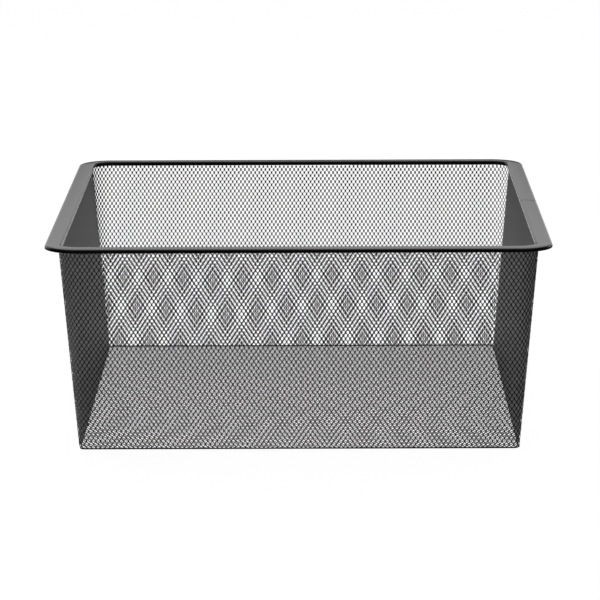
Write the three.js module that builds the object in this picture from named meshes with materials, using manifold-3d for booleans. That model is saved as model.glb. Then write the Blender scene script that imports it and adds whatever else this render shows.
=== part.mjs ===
// Mesh drawer: an open-topped basket of expanded steel mesh, hung from a bent steel rim.
// Millimetres, +Z up, the front towards -Y, the origin on the ground under the drawer's middle.

import * as THREE from 'three';
import { mergeVertices } from 'three/addons/utils/BufferGeometryUtils.js';
import Module from 'manifold-3d';

// Overall sizes
const RIM_WIDTH = 430; // side to side over the rim
const RIM_DEPTH = 500; // front to back over the rim
const DRAWER_HEIGHT = 180; // ground to the top of the rim
const FLOOR_WIDTH = 377; // side to side over the base wire
const FLOOR_DEPTH = 434; // front to back over the base wire

// Rim channel: a strip rolled to an inner leg, a flange and an outer lip
const RIM_SHEET = 1.2; // thickness of the strip
const FLANGE_WIDTH = 14.5; // over the inner leg and the outer lip
const FLANGE_FALL = 0.5; // drop of the flange from its inner to its outer edge
const INNER_LEG_HEIGHT = 3.8; // down from the top of the rim
const OUTER_LIP_HEIGHT = 3.6; // down from the top of the rim
const INNER_BEND_RADIUS = 1; // inside of the bend
const OUTER_BEND_RADIUS = 0.8; // inside of the bend
const RIM_CORNER_RADIUS = 30; // outside of the corner
const RIM_SEAM = 0.4; // gap where the two ends of the strip meet

// Base wire: runs round the floor, under the walls
const BASE_WIRE = 1.2; // diameter
const BASE_CORNER_RADIUS = 5; // outside of the corner

// Expanded mesh: the sheet's cells are drawn larger than life, with the sheet's own open share
const MESH_THICKNESS = 0.5;
const CELL_ACROSS = 4; // width of one cell of the real sheet
const CELL_ALONG = 6; // height of one cell of the real sheet
const WALL_CELL_ENLARGEMENT = 11; // drawn cells are this many times the real ones
const FLOOR_CELL_ENLARGEMENT = 13;
const CORNER_CELL_ENLARGEMENT = 7; // the rolled corners are narrow, so theirs are smaller
const OPEN_SHARE = 0.65; // open part of the sheet's area
const WALL_BORDER = 3; // closed edge of a wall or of the floor
const CORNER_BORDER = 1.5; // closed edge of a rolled corner

const FIT_GAP = 0.3; // between neighbouring pieces
const WELD_SEAT = 0.4; // between the rim's inner leg and the mesh welded to it

// Facets
const BEND_STEPS = 3;
const CORNER_STEPS = 6; // shared by the rim and the mesh, so that their facets stay parallel
const FLOOR_CORNER_STEPS = 4;
const WIRE_SIDES = 8;
const MERGE_DISTANCE = 1e-4;

const QUARTER_TURN = Math.PI / 2;
const FULL_TURN = Math.PI * 2;

// Places that several pieces share
const wallInset = FLANGE_WIDTH - RIM_SHEET - WELD_SEAT; // rim's outside to a wall's inner face
const wallTop = DRAWER_HEIGHT - RIM_SHEET - INNER_BEND_RADIUS - FLANGE_FALL / 2 - FIT_GAP;
const wallFoot = BASE_WIRE + FIT_GAP;
const footInset = (BASE_WIRE + MESH_THICKNESS) / 2; // base wire's outside to a wall's inner face

const wasm = await Module();
wasm.setup();

// A closed mesh as a solid that can be joined and cut
function toSolid(geometry) {
  const loose = geometry.index ? geometry.toNonIndexed() : geometry.clone();
  loose.deleteAttribute('normal');
  loose.deleteAttribute('uv');
  const merged = mergeVertices(loose, MERGE_DISTANCE);
  return new wasm.Manifold(new wasm.Mesh({
    numProp: 3,
    vertProperties: merged.attributes.position.array,
    triVerts: Uint32Array.from(merged.index.array),
  }));
}

// A solid as a mesh again
function toGeometry(solid) {
  const mesh = solid.getMesh();
  const geometry = new THREE.BufferGeometry();
  geometry.setAttribute('position', new THREE.BufferAttribute(Float32Array.from(mesh.vertProperties), 3));
  geometry.setIndex(new THREE.BufferAttribute(Uint32Array.from(mesh.triVerts), 1));
  geometry.computeVertexNormals();
  return geometry;
}

// Faces that close the end of a strip, pairing the points of its one side with those of its other
function stripCap(section) {
  const faces = [];
  const last = section.length - 1;
  for (let point = 0; point < section.length / 2 - 1; point += 1) {
    faces.push([point, point + 1, last - point]);
    faces.push([point + 1, last - point - 1, last - point]);
  }
  return faces;
}

// A skin over a row of rings with equal numbers of points: a closed loop, or a run with two end caps
function skin(rings, capFaces) {
  const count = rings[0].length;
  const points = rings.flat();
  const faces = [];
  const spans = capFaces ? rings.length - 1 : rings.length;
  for (let ring = 0; ring < spans; ring += 1) {
    const here = ring * count;
    const there = ((ring + 1) % rings.length) * count;
    for (let side = 0; side < count; side += 1) {
      const next = (side + 1) % count;
      faces.push(here + side, there + side, there + next);
      faces.push(here + side, there + next, here + next);
    }
  }
  if (capFaces) {
    const last = points.length - count;
    for (const [a, b, c] of capFaces) {
      faces.push(a, b, c);
      faces.push(last + a, last + c, last + b);
    }
  }
  const geometry = new THREE.BufferGeometry().setFromPoints(points);
  geometry.setIndex(faces);
  geometry.computeVertexNormals();
  return geometry;
}

// The four corner centres of a rounded rectangle, anticlockwise from the back right one
function cornerCentres(width, depth, radius) {
  const x = width / 2 - radius;
  const y = depth / 2 - radius;
  return [[x, y], [-x, y], [-x, -y], [x, -y]];
}

// Stations round a rounded rectangle: a centre and the direction that points outwards from it
function cornerStations(width, depth, radius, steps) {
  return cornerCentres(width, depth, radius).flatMap(([x, y], quarter) => (
    Array.from({ length: steps + 1 }, (_, step) => (
      { x, y, angle: (quarter + step / steps) * QUARTER_TURN }
    ))
  ));
}

// A point of a section carried round the stations: `inset` inwards from the outside, `z` up
function carried(station, radius, inset, z) {
  return new THREE.Vector3(
    station.x + (radius - inset) * Math.cos(station.angle),
    station.y + (radius - inset) * Math.sin(station.angle),
    z,
  );
}

// Points of an arc that rounds one bend of the rim's section
function bendArc(centreX, centreY, radius, fromAngle, toAngle) {
  return Array.from({ length: BEND_STEPS + 1 }, (_, step) => {
    const angle = fromAngle + (toAngle - fromAngle) * (step / BEND_STEPS);
    return new THREE.Vector2(centreX + radius * Math.cos(angle), centreY + radius * Math.sin(angle));
  });
}

// The rim's section, x inwards from the lip's outside and y down from the top of the inner bend
function rimSection() {
  const fall = Math.atan2(FLANGE_FALL, FLANGE_WIDTH);
  const innerRadius = INNER_BEND_RADIUS + RIM_SHEET;
  const outerRadius = OUTER_BEND_RADIUS + RIM_SHEET;
  const innerX = FLANGE_WIDTH - innerRadius;
  const innerY = -innerRadius;
  // Both bends touch one sloping line, which is the flange's top
  const outerX = outerRadius;
  const lineDrop = (innerX - outerX) * Math.tan(fall);
  const outerY = innerY - lineDrop + (innerRadius - outerRadius) / Math.cos(fall);
  const flangeAngle = QUARTER_TURN + fall;
  return [
    new THREE.Vector2(0, -OUTER_LIP_HEIGHT),
    ...bendArc(outerX, outerY, outerRadius, Math.PI, flangeAngle),
    ...bendArc(innerX, innerY, innerRadius, flangeAngle, 0),
    new THREE.Vector2(FLANGE_WIDTH, -INNER_LEG_HEIGHT),
    new THREE.Vector2(FLANGE_WIDTH - RIM_SHEET, -INNER_LEG_HEIGHT),
    ...bendArc(innerX, innerY, INNER_BEND_RADIUS, 0, flangeAngle),
    ...bendArc(outerX, outerY, OUTER_BEND_RADIUS, flangeAngle, Math.PI),
    new THREE.Vector2(RIM_SHEET, -OUTER_LIP_HEIGHT),
  ];
}

// The rim: one strip bent round the mouth, its ends meeting half way along the right side
function rimChannel() {
  const section = rimSection();
  const seamX = RIM_WIDTH / 2 - RIM_CORNER_RADIUS;
  const stations = [
    { x: seamX, y: RIM_SEAM / 2, angle: 0 },
    ...cornerStations(RIM_WIDTH, RIM_DEPTH, RIM_CORNER_RADIUS, CORNER_STEPS),
    { x: seamX, y: -RIM_SEAM / 2, angle: FULL_TURN },
  ];
  const rings = stations.map((station) => (
    section.map((point) => carried(station, RIM_CORNER_RADIUS, point.x, DRAWER_HEIGHT + point.y))
  ));
  return skin(rings, stripCap(section));
}

// The base wire: one round wire bent to the floor's outline, flat-sided so that it rests on the ground
function baseWire() {
  const wireRadius = BASE_WIRE / 2;
  const cornerToCorner = wireRadius / Math.cos(Math.PI / WIRE_SIDES);
  const stations = cornerStations(FLOOR_WIDTH, FLOOR_DEPTH, BASE_CORNER_RADIUS, FLOOR_CORNER_STEPS);
  const rings = stations.map((station) => (
    Array.from({ length: WIRE_SIDES }, (_, side) => {
      const angle = (side + 0.5) * (FULL_TURN / WIRE_SIDES);
      const inset = wireRadius - cornerToCorner * Math.cos(angle);
      const z = wireRadius + cornerToCorner * Math.sin(angle);
      return carried(station, BASE_CORNER_RADIUS, inset, z);
    })
  ));
  return skin(rings);
}

// A flat outline pulled to a slab from `bottom` to `top`
function slab(shapes, bottom, top) {
  const geometry = new THREE.ExtrudeGeometry(shapes, {
    depth: top - bottom,
    bevelEnabled: false,
    curveSegments: FLOOR_CORNER_STEPS,
  });
  return geometry.translate(0, 0, bottom);
}

// A trapezium standing on its foot, centred on x = 0
function trapezium(footHalf, headHalf, footY, headY) {
  return new THREE.Shape([
    new THREE.Vector2(-footHalf, footY),
    new THREE.Vector2(footHalf, footY),
    new THREE.Vector2(headHalf, headY),
    new THREE.Vector2(-headHalf, headY),
  ]);
}

// A rectangle with round corners, centred on the origin
function roundedRectangle(halfWidth, halfDepth, radius) {
  const shape = new THREE.Shape();
  cornerCentres(halfWidth * 2, halfDepth * 2, radius).forEach(([x, y], quarter) => {
    shape.absarc(x, y, radius, quarter * QUARTER_TURN, (quarter + 1) * QUARTER_TURN, false);
  });
  return shape;
}

// One gap of the mesh, a rhombus that leaves the strands their share of the sheet
function gapShape(x, y, across, along) {
  const scale = Math.sqrt(OPEN_SHARE) / 2;
  return new THREE.Shape([
    new THREE.Vector2(x + across * scale, y),
    new THREE.Vector2(x, y + along * scale),
    new THREE.Vector2(x - across * scale, y),
    new THREE.Vector2(x, y - along * scale),
  ]);
}

// Staggered rows of gaps that fill a field with whole cells from edge to edge
function gapRows(field, enlargement) {
  const size = field.getSize(new THREE.Vector2());
  const columns = Math.max(1, Math.round(size.x / (CELL_ACROSS * enlargement)));
  const rows = Math.max(1, Math.round(size.y / (CELL_ALONG * enlargement)));
  const across = size.x / columns;
  const along = size.y / rows;
  const gaps = [];
  for (let row = 0; row <= rows * 2; row += 1) {
    for (let column = row % 2; column <= columns * 2; column += 2) {
      const x = field.min.x + (column * across) / 2;
      const y = field.min.y + (row * along) / 2;
      gaps.push(gapShape(x, y, across, along));
    }
  }
  return gaps;
}

// A flat sheet of mesh: its outline, with gaps cut in the field that its closed border leaves
function meshSheet(outline, field, enlargement) {
  const sheet = toSolid(slab(outline, 0, MESH_THICKNESS));
  const bounds = new THREE.Box2().setFromPoints(field.getPoints());
  const gaps = toSolid(slab(gapRows(bounds, enlargement), -MESH_THICKNESS, MESH_THICKNESS * 2));
  const open = toSolid(slab(field, -MESH_THICKNESS, MESH_THICKNESS * 2));
  return toGeometry(sheet.subtract(gaps.intersect(open)));
}

// A flat wall, standing on the base wire and leaning out into the rim
function meshWall(wall) {
  const foot = wall.floorAcross / 2 - footInset;
  const head = wall.rimAcross / 2 - wallInset;
  const height = Math.hypot(wallTop - wallFoot, head - foot);
  const footHalf = wall.floorAlong / 2 - BASE_CORNER_RADIUS - FIT_GAP;
  const headHalf = wall.rimAlong / 2 - RIM_CORNER_RADIUS - FIT_GAP;
  const outline = trapezium(footHalf, headHalf, 0, height);
  const field = trapezium(
    footHalf - WALL_BORDER,
    headHalf - WALL_BORDER,
    WALL_BORDER,
    height - WALL_BORDER,
  );
  const mesh = piece(wall.name, meshSheet(outline, field, WALL_CELL_ENLARGEMENT));
  mesh.position.set(0, -foot, wallFoot);
  mesh.rotation.x = QUARTER_TURN + Math.atan2(head - foot, wallTop - wallFoot);
  const side = new THREE.Group();
  side.rotation.z = wall.turns * QUARTER_TURN;
  return side.add(mesh);
}

// The floor, lying inside the base wire
function floorSheet() {
  const edge = BASE_WIRE + FIT_GAP;
  const halfWidth = FLOOR_WIDTH / 2 - edge;
  const halfDepth = FLOOR_DEPTH / 2 - edge;
  const radius = BASE_CORNER_RADIUS - edge;
  const outline = roundedRectangle(halfWidth, halfDepth, radius);
  const field = trapezium(
    halfWidth - WALL_BORDER,
    halfWidth - WALL_BORDER,
    WALL_BORDER - halfDepth,
    halfDepth - WALL_BORDER,
  );
  return meshSheet(outline, field, FLOOR_CELL_ENLARGEMENT);
}

// One level of a rolled corner: a quarter ring, its inner arc out and its outer arc back
function cornerRing(centre, quarter, innerRadius, z) {
  const station = { x: centre[0], y: centre[1] };
  const arc = (radius) => Array.from({ length: CORNER_STEPS + 1 }, (_, step) => {
    const angle = (quarter + step / CORNER_STEPS) * QUARTER_TURN;
    return carried({ ...station, angle }, radius, 0, z);
  });
  return [...arc(innerRadius), ...arc(innerRadius + MESH_THICKNESS).reverse()];
}

// A rolled corner: part of a cone, tight at the base and wide at the rim, with one row of gaps
function meshCorner(quarter) {
  const footCentre = cornerCentres(FLOOR_WIDTH, FLOOR_DEPTH, BASE_CORNER_RADIUS)[quarter];
  const headCentre = cornerCentres(RIM_WIDTH, RIM_DEPTH, RIM_CORNER_RADIUS)[quarter];
  const footRadius = BASE_CORNER_RADIUS - footInset;
  const headRadius = RIM_CORNER_RADIUS - wallInset;
  const rings = [
    cornerRing(footCentre, quarter, footRadius, wallFoot),
    cornerRing(headCentre, quarter, headRadius, wallTop),
  ];
  const shell = toSolid(skin(rings, stripCap(rings[0])));

  // The gaps lie on the line up the middle of the bend and are cut square to it
  const middle = (quarter + 0.5) * QUARTER_TURN;
  const foot = carried({ x: footCentre[0], y: footCentre[1], angle: middle }, footRadius, 0, wallFoot);
  const head = carried({ x: headCentre[0], y: headCentre[1], angle: middle }, headRadius, 0, wallTop);
  const up = head.clone().sub(foot).normalize();
  const across = new THREE.Vector3(-Math.sin(middle), Math.cos(middle), 0);
  const out = across.clone().cross(up);
  const place = new THREE.Matrix4().makeBasis(across, up, out).setPosition(foot);
  const height = head.distanceTo(foot);
  const chordHalf = Math.SQRT1_2;
  const field = trapezium(
    footRadius * chordHalf - CORNER_BORDER,
    headRadius * chordHalf - CORNER_BORDER,
    CORNER_BORDER,
    height - CORNER_BORDER,
  );
  const rows = Math.max(1, Math.round(height / (CELL_ALONG * CORNER_CELL_ENLARGEMENT)));
  const along = (height - CORNER_BORDER * 2) / rows;
  const gaps = Array.from({ length: rows }, (_, row) => (
    gapShape(0, CORNER_BORDER + (row + 0.5) * along, CELL_ACROSS * CORNER_CELL_ENLARGEMENT, along)
  ));
  const cutter = toSolid(slab(gaps, -headRadius, headRadius).applyMatrix4(place));
  const open = toSolid(slab(field, -headRadius, headRadius).applyMatrix4(place));
  return toGeometry(shell.subtract(cutter.intersect(open)));
}

// A named piece in graphite powder coat
function piece(name, geometry) {
  const coat = new THREE.MeshStandardMaterial({ color: 0x3b3b3d, roughness: 0.45, metalness: 0.2 });
  const mesh = new THREE.Mesh(geometry, coat);
  mesh.name = name;
  return mesh;
}

const acrossTheFront = {
  rimAlong: RIM_WIDTH,
  floorAlong: FLOOR_WIDTH,
  rimAcross: RIM_DEPTH,
  floorAcross: FLOOR_DEPTH,
};
const alongTheSide = {
  rimAlong: RIM_DEPTH,
  floorAlong: FLOOR_DEPTH,
  rimAcross: RIM_WIDTH,
  floorAcross: FLOOR_WIDTH,
};
const walls = [
  { name: 'front_mesh_wall', turns: 0, ...acrossTheFront },
  { name: 'right_mesh_wall', turns: 1, ...alongTheSide },
  { name: 'back_mesh_wall', turns: 2, ...acrossTheFront },
  { name: 'left_mesh_wall', turns: 3, ...alongTheSide },
];
const cornerNames = ['back_right_corner', 'back_left_corner', 'front_left_corner', 'front_right_corner'];

const drawer = new THREE.Group();
drawer.name = 'mesh_drawer';
drawer.add(piece('rim_channel', rimChannel()));
drawer.add(...walls.map(meshWall));
drawer.add(...cornerNames.map((name, quarter) => piece(name, meshCorner(quarter))));
drawer.add(piece('floor_mesh', floorSheet()));
drawer.add(piece('base_wire', baseWire()));

export default drawer;
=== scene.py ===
# Mesh drawer: a basket of expanded steel mesh hung from a bent steel rim, in graphite powder coat.
# Metres, +Z up, the front towards -Y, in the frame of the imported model.

import math

import bpy
import numpy as np
from mathutils import Euler, Matrix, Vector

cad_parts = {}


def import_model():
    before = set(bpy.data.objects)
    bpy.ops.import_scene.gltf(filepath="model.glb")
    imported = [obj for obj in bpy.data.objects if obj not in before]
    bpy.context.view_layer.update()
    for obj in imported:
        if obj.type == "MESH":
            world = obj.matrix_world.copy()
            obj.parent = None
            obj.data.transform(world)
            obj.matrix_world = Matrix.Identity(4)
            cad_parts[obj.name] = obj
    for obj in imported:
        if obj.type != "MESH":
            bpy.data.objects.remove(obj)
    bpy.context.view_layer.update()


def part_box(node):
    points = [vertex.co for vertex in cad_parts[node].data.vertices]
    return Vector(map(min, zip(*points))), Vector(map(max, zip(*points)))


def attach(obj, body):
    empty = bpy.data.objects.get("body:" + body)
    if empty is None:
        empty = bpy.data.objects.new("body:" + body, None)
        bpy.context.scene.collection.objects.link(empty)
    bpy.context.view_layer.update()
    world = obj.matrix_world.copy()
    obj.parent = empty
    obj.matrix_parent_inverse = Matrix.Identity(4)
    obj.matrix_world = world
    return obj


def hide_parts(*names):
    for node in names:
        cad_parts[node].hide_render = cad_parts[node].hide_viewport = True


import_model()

MM = 0.001
QUARTER_TURN = math.pi / 2

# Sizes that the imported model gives
RIM_LOW, RIM_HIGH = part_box("rim_channel")
WIRE_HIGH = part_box("base_wire")[1]
CORNER_LOW, CORNER_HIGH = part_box("back_right_corner")
RIM_HALF_WIDTH, RIM_HALF_DEPTH, RIM_TOP = RIM_HIGH
FLOOR_HALF_WIDTH, FLOOR_HALF_DEPTH, BASE_WIRE = WIRE_HIGH
WALL_FOOT = CORNER_LOW.z
WALL_TOP = CORNER_HIGH.z

# Rim channel
RIM_SHEET = 1.2 * MM
FLANGE_WIDTH = 14.5 * MM
FLANGE_FALL = 0.5 * MM
INNER_LEG = RIM_TOP - RIM_LOW.z
OUTER_LIP = 3.6 * MM
INNER_BEND = 1.0 * MM  # inside of the bend
OUTER_BEND = 0.8 * MM  # inside of the bend
SHEET_EDGE = 0.3 * MM  # rounding of the cut edges under the coat
SHARP_ANGLE = 40  # degrees from which a bend of the surface shows as an edge
RIM_CORNER = 30 * MM
SEAM_WIDTH = 0.9 * MM
SEAM_DEPTH = 0.22 * MM
SEAM_NOTCH = 0.55 * MM  # depth of the seam on the lip, which the weld doesn't reach
SEAM_PLACES = (-1.6, -0.9, -0.5, -0.2, 0.2, 0.5, 0.9, 1.6)  # across the seam, in widths
SEAM_SHARES = (0, 0, 0.25, 1, 1, 0.25, 0, 0)  # of the depth, at those places

# Base wire
BASE_CORNER = 5 * MM

# Expanded mesh
CAD_SHEET = 0.5 * MM
MESH_SHEET = 0.3 * MM
FLOOR_SHEET = 0.2 * MM
HALF_ACROSS = 2 * MM  # half a cell, square to the long way of the mesh
HALF_ALONG = 3 * MM  # half a cell, along the long way of the mesh
KNOT = (0.95, 0.64, 0.57, 0.72)  # top, shoulder across and along, side, in millimetres from the middle
FRONT_KNOT = (0.93, 0.58, 0.585, 0.68)
BACK_KNOT = (1.1, 0.46, 0.785, 1.02)  # the strands of the back turn their narrow side to the inside
FLOOR_KNOT = (0.96, 0.65, 0.57, 0.73)
KNOT_FACES = ((0, 1, 2, 3), (0, 3, 4, 5), (0, 5, 6, 7))
STRANDS = ((1, (0, 7), (4, 3)), (-1, (1, 0), (5, 4)))  # columns over, corners it leaves, corners it reaches
TWIST = 0.28  # how steeply the knots and strands lean across the sheet
LEFT_TWIST = 0.19
RIGHT_TWIST = -0.22
FLOOR_TWIST = 0.03
FRONT_LAY = {  # how the sheet lies on the wall: skew and crowding are shares, the rest lengths
    "shift": 1.6 * MM, "start": -0.35 * MM, "half_along": 3.009 * MM,
    "skew": -0.0034, "crowding": 0.025, "bulge": 1.1 * MM, "knot": FRONT_KNOT,
}
BACK_LAY = {
    "shift": 0.48 * MM, "start": -0.43 * MM, "half_along": 3.016 * MM,
    "skew": 0.0023, "crowding": -0.012, "bulge": 0, "knot": BACK_KNOT,
}
FLOOR_LAY = {  # lean, skew and crowding are shares, the rest lengths
    "half_across": 1.8 * MM, "half_along": 3.6 * MM, "crowding": -0.083,
    "shift": 1.46 * MM, "start": 1.06 * MM, "lean": 0.0054, "skew": -0.0026,
}
FLOOR_HOLD = 8  # the power by which the wire's hold on the net fades inwards
BULGE_PLACE = -63 * MM
BULGE_WIDTH = 45 * MM
LAP = 6 * MM  # overlap of the bent sheets on the side walls
LAP_LIFT = 0.9 * MM
FLOOR_CLEARANCE = 0.05 * MM
RIM_CLEARANCE = 0.2 * MM

# Sizes that follow from these
FOOT_RADIUS = BASE_CORNER - BASE_WIRE / 2
HEAD_RADIUS = CORNER_HIGH.x - CAD_SHEET / 2 - (RIM_HALF_WIDTH - RIM_CORNER)
FOOT_CENTRE = np.array([FLOOR_HALF_WIDTH, FLOOR_HALF_DEPTH]) - BASE_CORNER
HEAD_CENTRE = np.array([RIM_HALF_WIDTH, RIM_HALF_DEPTH]) - RIM_CORNER
WALL_RISE = WALL_TOP - WALL_FOOT
WALL_ROWS = round(WALL_RISE / HALF_ALONG)
KNOT_HEIGHT = 2 * KNOT[0] * MM
SHEET_TOP = RIM_TOP - RIM_SHEET - RIM_CLEARANCE  # as high as the knots reach up into the rim

# Steps round the bends
BEND_STEPS = 8
EDGE_STEPS = 3
RIM_CORNER_STEPS = 24
WIRE_CORNER_STEPS = 10
WIRE_SIDES = 14
CONE_STEPS = 90

# Powder coat: scales are per metre
PEEL_SCALE = 350
PEEL_WEIGHT = 1.5  # height of the orange peel, counted in heights of the grain
PATCH_SCALE = 14
FINE_DETAIL = 2
PEEL_DETAIL = 1
PATCH_DETAIL = 4
LEAST_UPWARD = 0.15  # share of the dust that faces looking aside or down still have
DUST_RANGE = (0.1, 0.6)  # where the darker and the lighter grey are reached
GRAIN_HEIGHT = 0.05 * MM
MESH_GREYS = ((0.01, 0.01, 0.01), (0.022, 0.022, 0.021))
RIM_COAT = {
    "greys": ((0.014, 0.014, 0.014), (0.03, 0.03, 0.029)), "roughness": (0.12, 0.19),
    "specular": 0.5, "bump": 0.06, "grain_scale": 1800,
}
MESH_COAT = {
    "greys": MESH_GREYS, "roughness": (0.3, 0.42),
    "specular": 0.5, "bump": 0.2, "grain_scale": 2400,
}
WIRE_COAT = {
    "greys": MESH_GREYS, "roughness": (0.5, 0.62),
    "specular": 0.1, "bump": 0.2, "grain_scale": 2400,
}

# Camera, fitted to the photograph's frame of 600 by 600 pixels, its angles in degrees
FRAME_PIXELS = 600
FOCAL_PIXELS = 3471.4
SENSOR = 36
CAMERA_PLACE = (15.96 * MM, -3113.7 * MM, 691.8 * MM)
CAMERA_PITCH = 10.9745  # down
CAMERA_YAW = -0.2946
CAMERA_ROLL = -0.235
CAMERA_RANGE = 100

# Light: heights and directions are parts of a unit vector
TENT_FOOT = (0.125, 0.165)  # the height over which the tent begins
TENT_SIDE = (0.05, 0.18)  # the way aside over which it comes down to the ground
TENT_EDGE = (0.3, 0.75)  # the way back over which it begins
TENT_TOP = (0.16, 0.26)  # the height over which it dims
TENT_LEVEL = 0.9
TENT_TOP_LEVEL = 0.68
ROOM_LEVEL = 0.01
TOP_LIGHT = {"place": (0, 0.3, 1.9), "size": (2.6, 2.6), "level": 0.3}

# Studio floor: each pair says where reflections find it dark and where white, from the drawer's middle
STUDIO_HALF_SIZE = 40
STUDIO_DROP = 0.1 * MM
STUDIO_GREY = (0.3, 0.3, 0.3, 1)
STUDIO_GLOW = 0.95
LIT_BACK = (3.0, 1.8)
LIT_FRONT = (-0.26, -0.16)
LIT_SIDE = (0.5, 0.38)
WHITE = (1, 1, 1, 1)


def camera():
    """A long lens in front of the drawer, looking a little down into it."""
    data = bpy.data.cameras.new("camera")
    data.sensor_width = SENSOR
    data.lens = FOCAL_PIXELS * SENSOR / FRAME_PIXELS
    data.clip_end = CAMERA_RANGE
    item = bpy.data.objects.new("camera", data)
    aim = Euler((math.radians(90 - CAMERA_PITCH), 0, math.radians(-CAMERA_YAW))).to_matrix().to_4x4()
    roll = Matrix.Rotation(math.radians(CAMERA_ROLL), 4, "Z")
    item.matrix_world = Matrix.Translation(CAMERA_PLACE) @ aim @ roll
    bpy.context.scene.collection.objects.link(item)
    bpy.context.scene.camera = item


# Meshes

def mesh_object(name, points, faces, material, smooth=False):
    """An object from an array of points and an array of four-cornered faces."""
    mesh = bpy.data.meshes.new(name)
    mesh.vertices.add(len(points))
    mesh.vertices.foreach_set("co", points.astype(np.float32).ravel())
    mesh.loops.add(faces.size)
    mesh.loops.foreach_set("vertex_index", faces.astype(np.int32).ravel())
    mesh.polygons.add(len(faces))
    mesh.polygons.foreach_set("loop_start", np.arange(0, faces.size, 4, dtype=np.int32))
    mesh.polygons.foreach_set("loop_total", np.full(len(faces), 4, dtype=np.int32))
    mesh.polygons.foreach_set("use_smooth", np.full(len(faces), smooth))
    mesh.update(calc_edges=True)
    mesh.materials.append(material)
    item = bpy.data.objects.new(name, mesh)
    bpy.context.scene.collection.objects.link(item)
    return item


def finish_piece(item, slot, *nodes):
    """The piece rides on the one body of the drawer and stands for these solids."""
    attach(item, "root")
    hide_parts(*nodes)


def ring_faces(rings, count):
    """Faces of a skin over closed rings, where the last ring joins the first."""
    ring, side = np.meshgrid(np.arange(rings), np.arange(count), indexing="ij")
    here = ring * count
    there = (ring + 1) % rings * count
    next_side = (side + 1) % count
    faces = [here + side, there + side, there + next_side, here + next_side]
    return np.stack(faces, axis=-1).reshape(-1, 4)


def arc(centre, radius, start, end, steps=BEND_STEPS):
    """Points at even angles on a circle."""
    angle = np.linspace(start, end, steps + 1)
    return np.stack([centre[0] + radius * np.cos(angle), centre[1] + radius * np.sin(angle)], axis=1)


def corner_stations(half_width, half_depth, radius, steps):
    """Centres and outward angles of the stations round a rounded rectangle, anticlockwise from the back
    right."""
    quarter, step = np.meshgrid(np.arange(4), np.arange(steps + 1) / steps, indexing="ij")
    signs = np.array([[1, 1], [-1, 1], [-1, -1], [1, -1]])
    centres = signs * np.array([half_width - radius, half_depth - radius])
    angle = (quarter + step) * QUARTER_TURN
    return np.column_stack([np.repeat(centres, steps + 1, axis=0), angle.ravel()])


def carried(section, stations, radius):
    """A section of (inset, height) points carried round stations of (centre x, centre y, angle): each point
    lies the radius less its inset out from the centre, at that angle."""
    reach = radius - section[..., 0]
    angle = stations[:, 2:3]
    x = stations[:, 0:1] + reach * np.cos(angle)
    y = stations[:, 1:2] + reach * np.sin(angle)
    z = np.broadcast_to(section[..., 1], x.shape)
    return np.stack([x, y, z], axis=-1)


# Rim

def rim_section():
    """The rim's outline: lip, outer bend, flange, inner bend and leg, out along the top and back
    underneath. Both bends touch one sloping line, the flange's top, and the cut edges are rounded off."""
    fall = math.atan2(FLANGE_FALL, FLANGE_WIDTH)
    inner_radius = INNER_BEND + RIM_SHEET
    outer_radius = OUTER_BEND + RIM_SHEET
    inner = (FLANGE_WIDTH - inner_radius, -inner_radius)
    drop = (inner[0] - outer_radius) * math.tan(fall)
    outer = (outer_radius, inner[1] - drop + (inner_radius - outer_radius) / math.cos(fall))
    flange = QUARTER_TURN + fall
    lip = SHEET_EDGE - OUTER_LIP
    leg = SHEET_EDGE - INNER_LEG
    leg_inside = FLANGE_WIDTH - RIM_SHEET + SHEET_EDGE
    outline = np.concatenate([
        arc((SHEET_EDGE, lip), SHEET_EDGE, 3 * QUARTER_TURN, 2 * QUARTER_TURN, EDGE_STEPS),
        arc(outer, outer_radius, math.pi, flange),
        arc(inner, inner_radius, flange, 0),
        arc((FLANGE_WIDTH - SHEET_EDGE, leg), SHEET_EDGE, 0, -QUARTER_TURN, EDGE_STEPS),
        arc((leg_inside, leg), SHEET_EDGE, -QUARTER_TURN, -math.pi, EDGE_STEPS),
        arc(inner, INNER_BEND, 0, flange),
        arc(outer, OUTER_BEND, flange, math.pi),
        arc((RIM_SHEET - SHEET_EDGE, lip), SHEET_EDGE, 4 * QUARTER_TURN, 3 * QUARTER_TURN, EDGE_STEPS),
    ])
    return outline + np.array([0, RIM_TOP])


def rim(material):
    """The section carried round the mouth. Half way along the right side the strip's ends meet in a weld,
    a groove that follows the section inwards and is deepest on the lip."""
    section = rim_section()
    along = np.roll(section, -1, axis=0) - np.roll(section, 1, axis=0)
    inward = np.stack([along[:, 1], -along[:, 0]], axis=1)
    inward /= np.linalg.norm(inward, axis=1, keepdims=True)
    lip_share = np.clip((OUTER_BEND + RIM_SHEET - section[:, 0]) / RIM_SHEET, 0, 1)
    depth = SEAM_DEPTH + (SEAM_NOTCH - SEAM_DEPTH) * lip_share

    seam_y = SEAM_WIDTH * np.array(SEAM_PLACES)
    seam_x = np.full_like(seam_y, RIM_HALF_WIDTH - RIM_CORNER)
    seam = np.column_stack([seam_x, seam_y, np.zeros_like(seam_y)])
    corners = corner_stations(RIM_HALF_WIDTH, RIM_HALF_DEPTH, RIM_CORNER, RIM_CORNER_STEPS)
    stations = np.concatenate([seam, corners])
    share = np.concatenate([SEAM_SHARES, np.zeros(len(corners))])
    sections = section + share[:, None, None] * (depth[:, None] * inward)
    points = carried(sections, stations, RIM_CORNER)
    faces = ring_faces(*points.shape[:2])
    item = mesh_object("rim", points.reshape(-1, 3), faces, material, smooth=True)
    item.data.set_sharp_from_angle(angle=math.radians(SHARP_ANGLE))
    finish_piece(item, "rim_coat", "rim_channel")


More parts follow.
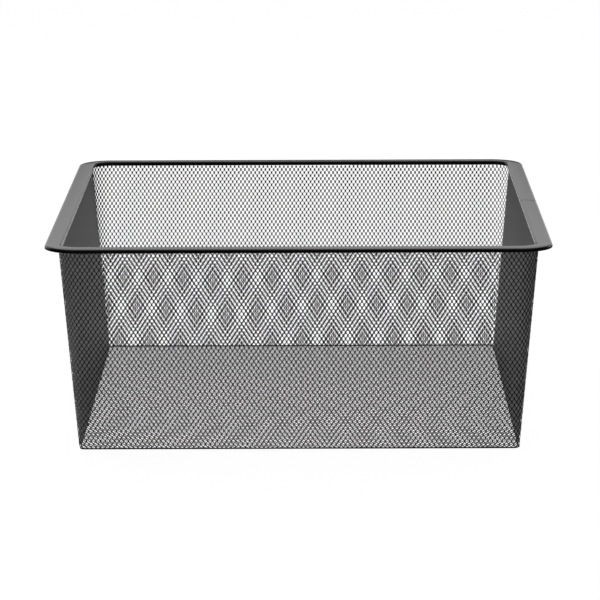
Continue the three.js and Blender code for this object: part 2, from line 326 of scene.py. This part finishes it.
def base_wire(material):
    """A round wire carried round the floor's outline."""
    radius = BASE_WIRE / 2
    turn = np.arange(WIRE_SIDES) * (2 * math.pi / WIRE_SIDES)
    section = np.stack([radius - radius * np.cos(turn), radius + radius * np.sin(turn)], axis=1)
    stations = corner_stations(FLOOR_HALF_WIDTH, FLOOR_HALF_DEPTH, BASE_CORNER, WIRE_CORNER_STEPS)
    points = carried(section, stations, BASE_CORNER)
    faces = ring_faces(*points.shape[:2])
    item = mesh_object("foot_wire", points.reshape(-1, 3), faces, material, smooth=True)
    finish_piece(item, "wire_coat", "base_wire")


# Expanded mesh

def lattice(columns, rows, inside):
    """Knots on a staggered lattice, counted in half cells across and along, where `inside` holds."""
    p, q = np.meshgrid(np.arange(-columns, columns + 1), np.arange(rows + 1), indexing="ij")
    kept = ((p + q) % 2 == 0) & inside(p, q)
    return p[kept], q[kept]


def knot_corners(top, shoulder_across, shoulder_along, side):
    """The eight corners of a knot, across and along, anticlockwise from the top."""
    x, y = shoulder_across, shoulder_along
    corners = [(0, top), (-x, y), (-side, 0), (-x, -y), (0, -top), (x, -y), (side, 0), (x, y)]
    return MM * np.array(corners)


def net(p, q, half_across, half_along, twist, knot_sizes=KNOT):
    """The outline of expanded mesh: each knot has eight corners, and from its top two strands lead to the
    knots above it on either side. One side of every knot and strand stands out of the sheet and the other
    stands in, as the slit sheet twists when it is drawn open: the rise is the twist times the way across
    from the knot's middle. Gives (across, along, rise) and faces."""
    corners = knot_corners(*knot_sizes)
    across = p[:, None] * half_across + corners[:, 0]
    along = q[:, None] * half_along + corners[:, 1]
    rise = np.broadcast_to(twist * corners[:, 0], across.shape)
    points = np.stack([across, along, rise], axis=-1).reshape(-1, 3)

    number = np.full((np.ptp(p) + 3, np.ptp(q) + 3), -1)
    column = p - p.min() + 1
    row = q - q.min() + 1
    number[column, row] = np.arange(len(p))
    knot = np.arange(len(p)) * len(corners)
    faces = [knot[:, None] + np.array(face) for face in KNOT_FACES]
    for step, lower, upper in STRANDS:
        other = number[column + step, row + 1]
        joined = other >= 0
        start = knot[joined, None] + np.array(lower)
        finish = other[joined, None] * len(corners) + np.array(upper)
        faces.append(np.concatenate([start, finish], axis=1))
    return points, np.concatenate(faces)


def thickened(points, faces, thickness):
    """A closed sheet: the faces pushed half the thickness out, their copies half in, and walls along every
    edge that only one face has."""
    used, faces = np.unique(faces, return_inverse=True)
    faces = faces.reshape(-1, 4)
    points = points[used]
    count = len(points)
    start = faces.ravel()
    end = np.roll(faces, -1, axis=1).ravel()
    open_edge = ~np.isin(start * count + end, end * count + start)
    start, end = start[open_edge], end[open_edge]
    walls = np.stack([end, start, start + count, end + count], axis=1)
    half = np.array([0, 0, thickness / 2])
    both_sides = np.concatenate([points + half, points - half])
    return both_sides, np.concatenate([faces, faces[:, ::-1] + count, walls])


def between(foot, head, share):
    """A size that changes evenly from the foot of a wall to its head."""
    return foot + (head - foot) * share


def turned(along, out, z, quarters):
    """Points given along a wall and outwards from the middle, turned from the front by quarter turns."""
    x, y = ((along, -out), (out, along), (-along, out), (-out, -along))[quarters]
    return np.stack([x, y, z], axis=-1)


def wall_slope(axis):
    """Length of a leaning wall from foot to head."""
    lean = HEAD_CENTRE[axis] + HEAD_RADIUS - FOOT_CENTRE[axis] - FOOT_RADIUS
    return math.hypot(WALL_RISE, lean)


def mesh_pieces(names, points, faces, thickness, place, material, *nodes):
    """A net cut across into equal bands, one for each name, thickened and put in its place."""
    centre = points[faces, 0].mean(axis=1)
    cuts = np.linspace(centre.min(), centre.max(), len(names) + 1)[1:-1]
    band = np.digitize(centre, cuts)
    for number, name in enumerate(names):
        part, part_faces = thickened(points, faces[band == number], thickness)
        item = mesh_object(name, place(*part.T), part_faces, material)
        finish_piece(item, "mesh_coat", *nodes)


def unit(vectors):
    """The vectors drawn to a length of one."""
    return vectors / np.linalg.norm(vectors, axis=-1, keepdims=True)


def bent_sheet(names, quarters, material, nodes, shift, start, half_along, skew, crowding, bulge, knot):
    """A front or back sheet: flat between the corners, then bent round two cones that widen upwards, and
    lapped over the side walls. The sheet is bent without stretching, so a point keeps its distance from the
    tip of the cone, which lies on the edge of the flat below the foot, and the angle there from that edge is
    used up first in the flat, then round the cone from ruling to ruling, and last in the plane of the side
    wall. The rows may bulge upwards at one place, as far as a bell curve across the sheet and half a sine
    wave up it give."""
    slope = wall_slope(1)
    widening = HEAD_RADIUS - FOOT_RADIUS
    spine = np.array([*(HEAD_CENTRE - FOOT_CENTRE), WALL_RISE])
    tip_share = -FOOT_RADIUS / widening
    tip = np.array([*FOOT_CENTRE, WALL_FOOT]) + tip_share * spine
    tip_along = tip_share * slope
    edge_angle = math.atan2(spine[0], slope)

    def radial(angle):
        """The level direction outwards at an angle round the corner."""
        return np.stack([np.sin(angle), np.cos(angle), np.zeros_like(angle)], axis=-1)

    def ruling(angle):
        """The direction up the cone at an angle round the corner."""
        return unit(spine + widening * radial(angle))

    angles = np.linspace(0, QUARTER_TURN, CONE_STEPS + 1)
    steps = np.linalg.norm(np.diff(ruling(angles), axis=0), axis=1)
    turns = np.concatenate([[0], np.cumsum(steps)])

    def from_tip(across, along):
        """Distance from the cone's tip, and the angle there from the edge of the flat."""
        beside = np.abs(across) - tip[0]
        above = along - tip_along
        return np.hypot(beside, above), np.arctan2(beside, above) - edge_angle

    def place(across, along, rise):
        """Points of the flat net laid on the wall and bent with it."""
        across = across + shift
        along = along + start + skew * across
        along = along + crowding * along * (along / slope - 1)
        bell = np.exp(-((across - BULGE_PLACE) / BULGE_WIDTH) ** 2)
        along = along + bulge * bell * np.sin(math.pi * np.clip(along / slope, 0, 1))
        distance, turn = from_tip(across, along)
        angle = np.interp(turn, turns, angles)
        flat_turn = (turn - np.clip(turn, 0, turns[-1]))[:, None]
        up = ruling(angle)
        round_cone = radial(angle + QUARTER_TURN)
        beside = unit(round_cone - np.sum(round_cone * up, axis=1, keepdims=True) * up)
        lift = LAP_LIFT * np.clip(angle / QUARTER_TURN * 2 - 1, 0, 1)
        bent = tip + distance[:, None] * (np.cos(flat_turn) * up + np.sin(flat_turn) * beside)
        bent = bent + (rise + lift)[:, None] * radial(angle)
        height = np.maximum(bent[:, 2], FLOOR_CLEARANCE)
        return turned(np.sign(across) * bent[:, 0], bent[:, 1], height, quarters)

    def inside(p, q):
        """Whether a knot lies within the laps and under the rim."""
        across = p * HALF_ACROSS
        along = q * half_along
        distance, turn = from_tip(across + shift, along + start)
        lapped = distance * np.sin(turn - turns[-1]) <= LAP
        height = place(across.ravel(), along.ravel(), np.zeros(p.size))[:, 2].reshape(p.shape)
        return lapped & (height + KNOT_HEIGHT / 2 <= SHEET_TOP)

    columns = math.ceil((HEAD_CENTRE[0] + HEAD_RADIUS * QUARTER_TURN + 2 * LAP) / HALF_ACROSS)
    rows = math.ceil(slope / half_along)
    points, faces = net(*lattice(columns, rows, inside), HALF_ACROSS, half_along, TWIST, knot)
    mesh_pieces(names, points, faces, MESH_SHEET, place, material, *nodes)


def side_sheet(names, quarters, twist, material, node):
    """A flat side wall between the corners. It leans outwards: its distance from the middle grows evenly
    from foot to head."""
    slope = wall_slope(0)
    half_along = (slope - KNOT_HEIGHT / 2) / WALL_ROWS

    def inside(p, q):
        """Whether a knot lies between the corners."""
        return np.abs(p * HALF_ACROSS) <= between(FOOT_CENTRE[1], HEAD_CENTRE[1], q / WALL_ROWS)

    def place(across, along, rise):
        """Points of the flat net laid on the wall."""
        share = along / slope
        out = between(FOOT_CENTRE[0] + FOOT_RADIUS, HEAD_CENTRE[0] + HEAD_RADIUS, share) + rise
        return turned(across, out, between(WALL_FOOT, WALL_TOP, share), quarters)

    columns = math.ceil(HEAD_CENTRE[1] / HALF_ACROSS)
    points, faces = net(*lattice(columns, WALL_ROWS, inside), HALF_ACROSS, half_along, twist)
    mesh_pieces(names, points, faces, MESH_SHEET, place, material, node)


def floor_sheet(material, half_across, half_along, crowding, shift, start, lean, skew):
    """The floor, its long way running front to back, its cells longest at the front, its outer knots welded
    into the wire. Inside the wire the net lies a little aside and askew: all of it in the middle, none of it
    at the edge, by one less the eighth power of the share of the way to the edge."""
    half_width = FLOOR_HALF_WIDTH - BASE_WIRE
    half_depth = FLOOR_HALF_DEPTH - BASE_WIRE
    columns = round(half_width / half_across)
    rows = round(2 * half_depth / half_along)
    half_across = half_width / columns
    half_along = 2 * half_depth / rows
    level = FLOOR_SHEET / 2 + FLOOR_TWIST * FLOOR_KNOT[3] * MM + FLOOR_CLEARANCE

    def inside(p, q):
        """Whether a knot lies within the wire's rounded corners."""
        x = np.abs(p * half_across)
        y = np.abs(q * half_along - half_depth)
        past_x = np.maximum(x - FLOOR_HALF_WIDTH + BASE_CORNER, 0)
        past_y = np.maximum(y - FLOOR_HALF_DEPTH + BASE_CORNER, 0)
        return np.hypot(past_x, past_y) <= FOOT_RADIUS

    def place(across, along, rise):
        """Points of the flat net laid inside the wire."""
        y = along - half_depth
        y = y + crowding * (y * y / half_depth - half_depth)
        free_across = np.clip(1 - (across / half_width) ** FLOOR_HOLD, 0, 1)
        free_along = np.clip(1 - (y / half_depth) ** FLOOR_HOLD, 0, 1)
        free = free_across * free_along
        x = across + free * (shift + lean * y)
        return np.stack([x, y + free * (start + skew * across), rise + level], axis=-1)

    knots = lattice(columns, rows, inside)
    points, faces = net(*knots, half_across, half_along, FLOOR_TWIST, FLOOR_KNOT)
    names = ("floor_left", "floor_middle", "floor_right")
    mesh_pieces(names, points, faces, FLOOR_SHEET, place, material, "floor_mesh")


# Materials

def group(name, inputs, outputs):
    """An empty shader node group with named number inputs and outputs."""
    tree = bpy.data.node_groups.new(name, "ShaderNodeTree")
    for label, value in inputs.items():
        socket = tree.interface.new_socket(label, in_out="INPUT", socket_type="NodeSocketFloat")
        socket.default_value = value
    for label in outputs:
        tree.interface.new_socket(label, in_out="OUTPUT", socket_type="NodeSocketFloat")
    return tree, tree.nodes.new("NodeGroupInput"), tree.nodes.new("NodeGroupOutput")


def math_node(tree, operation, first, second):
    """A math node on two values, each a socket or a number."""
    node = tree.nodes.new("ShaderNodeMath")
    node.operation = operation
    for socket, value in zip(node.inputs, (first, second)):
        if isinstance(value, (int, float)):
            socket.default_value = value
        else:
            tree.links.new(value, socket)
    return node.outputs[0]


def map_range(tree, value, given, made):
    """A smooth step from one pair of values to another."""
    node = tree.nodes.new("ShaderNodeMapRange")
    node.interpolation_type = "SMOOTHSTEP"
    node.inputs["From Min"].default_value, node.inputs["From Max"].default_value = given
    node.inputs["To Min"].default_value, node.inputs["To Max"].default_value = made
    tree.links.new(value, node.inputs["Value"])
    return node.outputs["Result"]


def noise(tree, scale, detail):
    """Noise on the object's own coordinates, its scale from a socket."""
    place = tree.nodes.new("ShaderNodeTexCoord")
    node = tree.nodes.new("ShaderNodeTexNoise")
    node.inputs["Detail"].default_value = detail
    tree.links.new(scale, node.inputs["Scale"])
    tree.links.new(place.outputs["Object"], node.inputs["Vector"])
    return node.outputs["Fac"]


def powder_grain():
    """Fine grain of baked powder, with a wider orange peel under it."""
    scales = {"Grain": RIM_COAT["grain_scale"], "Peel": PEEL_SCALE}
    tree, given, made = group("powder_grain", scales, ["Height", "Fine"])
    fine = noise(tree, given.outputs["Grain"], FINE_DETAIL)
    peel = noise(tree, given.outputs["Peel"], PEEL_DETAIL)
    height = math_node(tree, "MULTIPLY_ADD", peel, PEEL_WEIGHT)
    tree.links.new(fine, height.node.inputs[2])
    tree.links.new(height, made.inputs["Height"])
    tree.links.new(fine, made.inputs["Fine"])
    return tree


def settled_dust():
    """Faint dust and handling marks: a slow noise, stronger on faces that look up."""
    tree, given, made = group("settled_dust", {"Patch": PATCH_SCALE}, ["Dust"])
    patch = noise(tree, given.outputs["Patch"], PATCH_DETAIL)
    facing = tree.nodes.new("ShaderNodeNewGeometry")
    parts = tree.nodes.new("ShaderNodeSeparateXYZ")
    tree.links.new(facing.outputs["True Normal"], parts.inputs[0])
    upward = math_node(tree, "MAXIMUM", parts.outputs["Z"], LEAST_UPWARD)
    tree.links.new(math_node(tree, "MULTIPLY", patch, upward), made.inputs["Dust"])
    return tree


def coat(name, grain, dust, greys, roughness, specular, bump, grain_scale):
    """Graphite powder coat: two near greys by dust, roughness by grain, and the grain as bump."""
    material = bpy.data.materials.new(name)
    material.use_nodes = True
    tree = material.node_tree
    shader = tree.nodes["Principled BSDF"]
    shader.inputs["Specular IOR Level"].default_value = specular

    grain_node = tree.nodes.new("ShaderNodeGroup")
    grain_node.node_tree = grain
    grain_node.inputs["Grain"].default_value = grain_scale
    dust_node = tree.nodes.new("ShaderNodeGroup")
    dust_node.node_tree = dust

    ramp = tree.nodes.new("ShaderNodeValToRGB")
    for element, grey, place in zip(ramp.color_ramp.elements, greys, DUST_RANGE):
        element.color = (*grey, 1)
        element.position = place
    tree.links.new(dust_node.outputs["Dust"], ramp.inputs["Fac"])
    tree.links.new(ramp.outputs["Color"], shader.inputs["Base Color"])

    spread = tree.nodes.new("ShaderNodeMapRange")
    spread.inputs["To Min"].default_value, spread.inputs["To Max"].default_value = roughness
    tree.links.new(grain_node.outputs["Fine"], spread.inputs["Value"])
    tree.links.new(spread.outputs["Result"], shader.inputs["Roughness"])

    relief = tree.nodes.new("ShaderNodeBump")
    relief.inputs["Strength"].default_value = bump
    relief.inputs["Distance"].default_value = GRAIN_HEIGHT
    tree.links.new(grain_node.outputs["Height"], relief.inputs["Height"])
    tree.links.new(relief.outputs["Normal"], shader.inputs["Normal"])
    return material


# Stage and light

def studio_floor():
    """A pale floor that the camera and reflections see as white, and that keeps the drawer's shadow."""
    size = STUDIO_HALF_SIZE
    corners = [(-size, -size, 0), (size, -size, 0), (size, size, 0), (-size, size, 0)]
    mesh = bpy.data.meshes.new("studio_floor")
    mesh.from_pydata(corners, [], [(0, 1, 2, 3)])
    item = bpy.data.objects.new("studio_floor", mesh)
    item.location.z = -STUDIO_DROP
    bpy.context.scene.collection.objects.link(item)

    material = bpy.data.materials.new("studio_floor")
    material.use_nodes = True
    tree = material.node_tree
    tree.nodes.clear()
    output = tree.nodes.new("ShaderNodeOutputMaterial")
    paper = tree.nodes.new("ShaderNodeBsdfDiffuse")
    paper.inputs["Color"].default_value = STUDIO_GREY
    glow = tree.nodes.new("ShaderNodeEmission")
    glow.inputs["Color"].default_value = WHITE
    path = tree.nodes.new("ShaderNodeLightPath")
    seen = math_node(tree, "MAXIMUM", path.outputs["Is Camera Ray"], path.outputs["Is Transmission Ray"])
    place = tree.nodes.new("ShaderNodeTexCoord")
    parts = tree.nodes.new("ShaderNodeSeparateXYZ")
    tree.links.new(place.outputs["Object"], parts.inputs[0])
    near = map_range(tree, parts.outputs["Y"], LIT_BACK, (0, 1))
    lit = math_node(tree, "MULTIPLY", near, map_range(tree, parts.outputs["Y"], LIT_FRONT, (0, 1)))
    aside = math_node(tree, "ABSOLUTE", parts.outputs["X"], 0)
    lit = math_node(tree, "MULTIPLY", lit, map_range(tree, aside, LIT_SIDE, (0, 1)))
    mirrored = math_node(tree, "MULTIPLY", path.outputs["Is Glossy Ray"], lit)
    strength = math_node(tree, "MULTIPLY", math_node(tree, "MAXIMUM", seen, mirrored), STUDIO_GLOW)
    tree.links.new(strength, glow.inputs["Strength"])
    both = tree.nodes.new("ShaderNodeAddShader")
    tree.links.new(paper.outputs[0], both.inputs[0])
    tree.links.new(glow.outputs[0], both.inputs[1])
    tree.links.new(both.outputs[0], output.inputs["Surface"])
    mesh.materials.append(material)


def softbox(name, place, size, level):
    """A large soft lamp of an even brightness, shining down, not seen by the camera."""
    data = bpy.data.lights.new(name, "AREA")
    data.shape = "RECTANGLE"
    data.size, data.size_y = size
    data.energy = level * math.pi * size[0] * size[1]
    item = bpy.data.objects.new(name, data)
    item.location = place
    item.visible_camera = False
    bpy.context.scene.collection.objects.link(item)


def world():
    """White to the camera. To everything else a bright tent round the back and the sides, which starts a
    little above the horizon, and a dark room on the camera's side."""
    scene_world = bpy.data.worlds.new("room")
    bpy.context.scene.world = scene_world
    scene_world.use_nodes = True
    tree = scene_world.node_tree
    place = tree.nodes.new("ShaderNodeTexCoord")
    parts = tree.nodes.new("ShaderNodeSeparateXYZ")
    tree.links.new(place.outputs["Generated"], parts.inputs[0])
    above = map_range(tree, parts.outputs["Z"], TENT_FOOT, (0, 1))
    beside = map_range(tree, math_node(tree, "ABSOLUTE", parts.outputs["X"], 0), TENT_SIDE, (0, 1))
    behind = map_range(tree, parts.outputs["Y"], TENT_EDGE, (0, 1))
    tent = math_node(tree, "MULTIPLY", math_node(tree, "MAXIMUM", above, beside), behind)
    level = map_range(tree, parts.outputs["Z"], TENT_TOP, (TENT_LEVEL, TENT_TOP_LEVEL))
    room = math_node(tree, "MAXIMUM", math_node(tree, "MULTIPLY", tent, level), ROOM_LEVEL)
    path = tree.nodes.new("ShaderNodeLightPath")
    background = tree.nodes["Background"]
    background.inputs["Color"].default_value = WHITE
    strength = math_node(tree, "MAXIMUM", room, path.outputs["Is Camera Ray"])
    tree.links.new(strength, background.inputs["Strength"])


# The drawer

bpy.context.scene.view_settings.view_transform = "Standard"
camera()

grain = powder_grain()
dust = settled_dust()
rim_coat = coat("rim_coat", grain, dust, **RIM_COAT)
mesh_coat = coat("mesh_coat", grain, dust, **MESH_COAT)
wire_coat = coat("wire_coat", grain, dust, **WIRE_COAT)

rim(rim_coat)
base_wire(wire_coat)
bent_sheet(("front_sheet_left", "front_sheet_right"), 0, mesh_coat,
           ("front_mesh_wall", "front_left_corner", "front_right_corner"), **FRONT_LAY)
bent_sheet(("back_sheet_right", "back_sheet_left"), 2, mesh_coat,
           ("back_mesh_wall", "back_left_corner", "back_right_corner"), **BACK_LAY)
side_sheet(("right_sheet_front", "right_sheet_back"), 1, RIGHT_TWIST, mesh_coat, "right_mesh_wall")
side_sheet(("left_sheet_back", "left_sheet_front"), 3, LEFT_TWIST, mesh_coat, "left_mesh_wall")
floor_sheet(mesh_coat, **FLOOR_LAY)

studio_floor()
softbox("top_softbox", **TOP_LIGHT)
world()
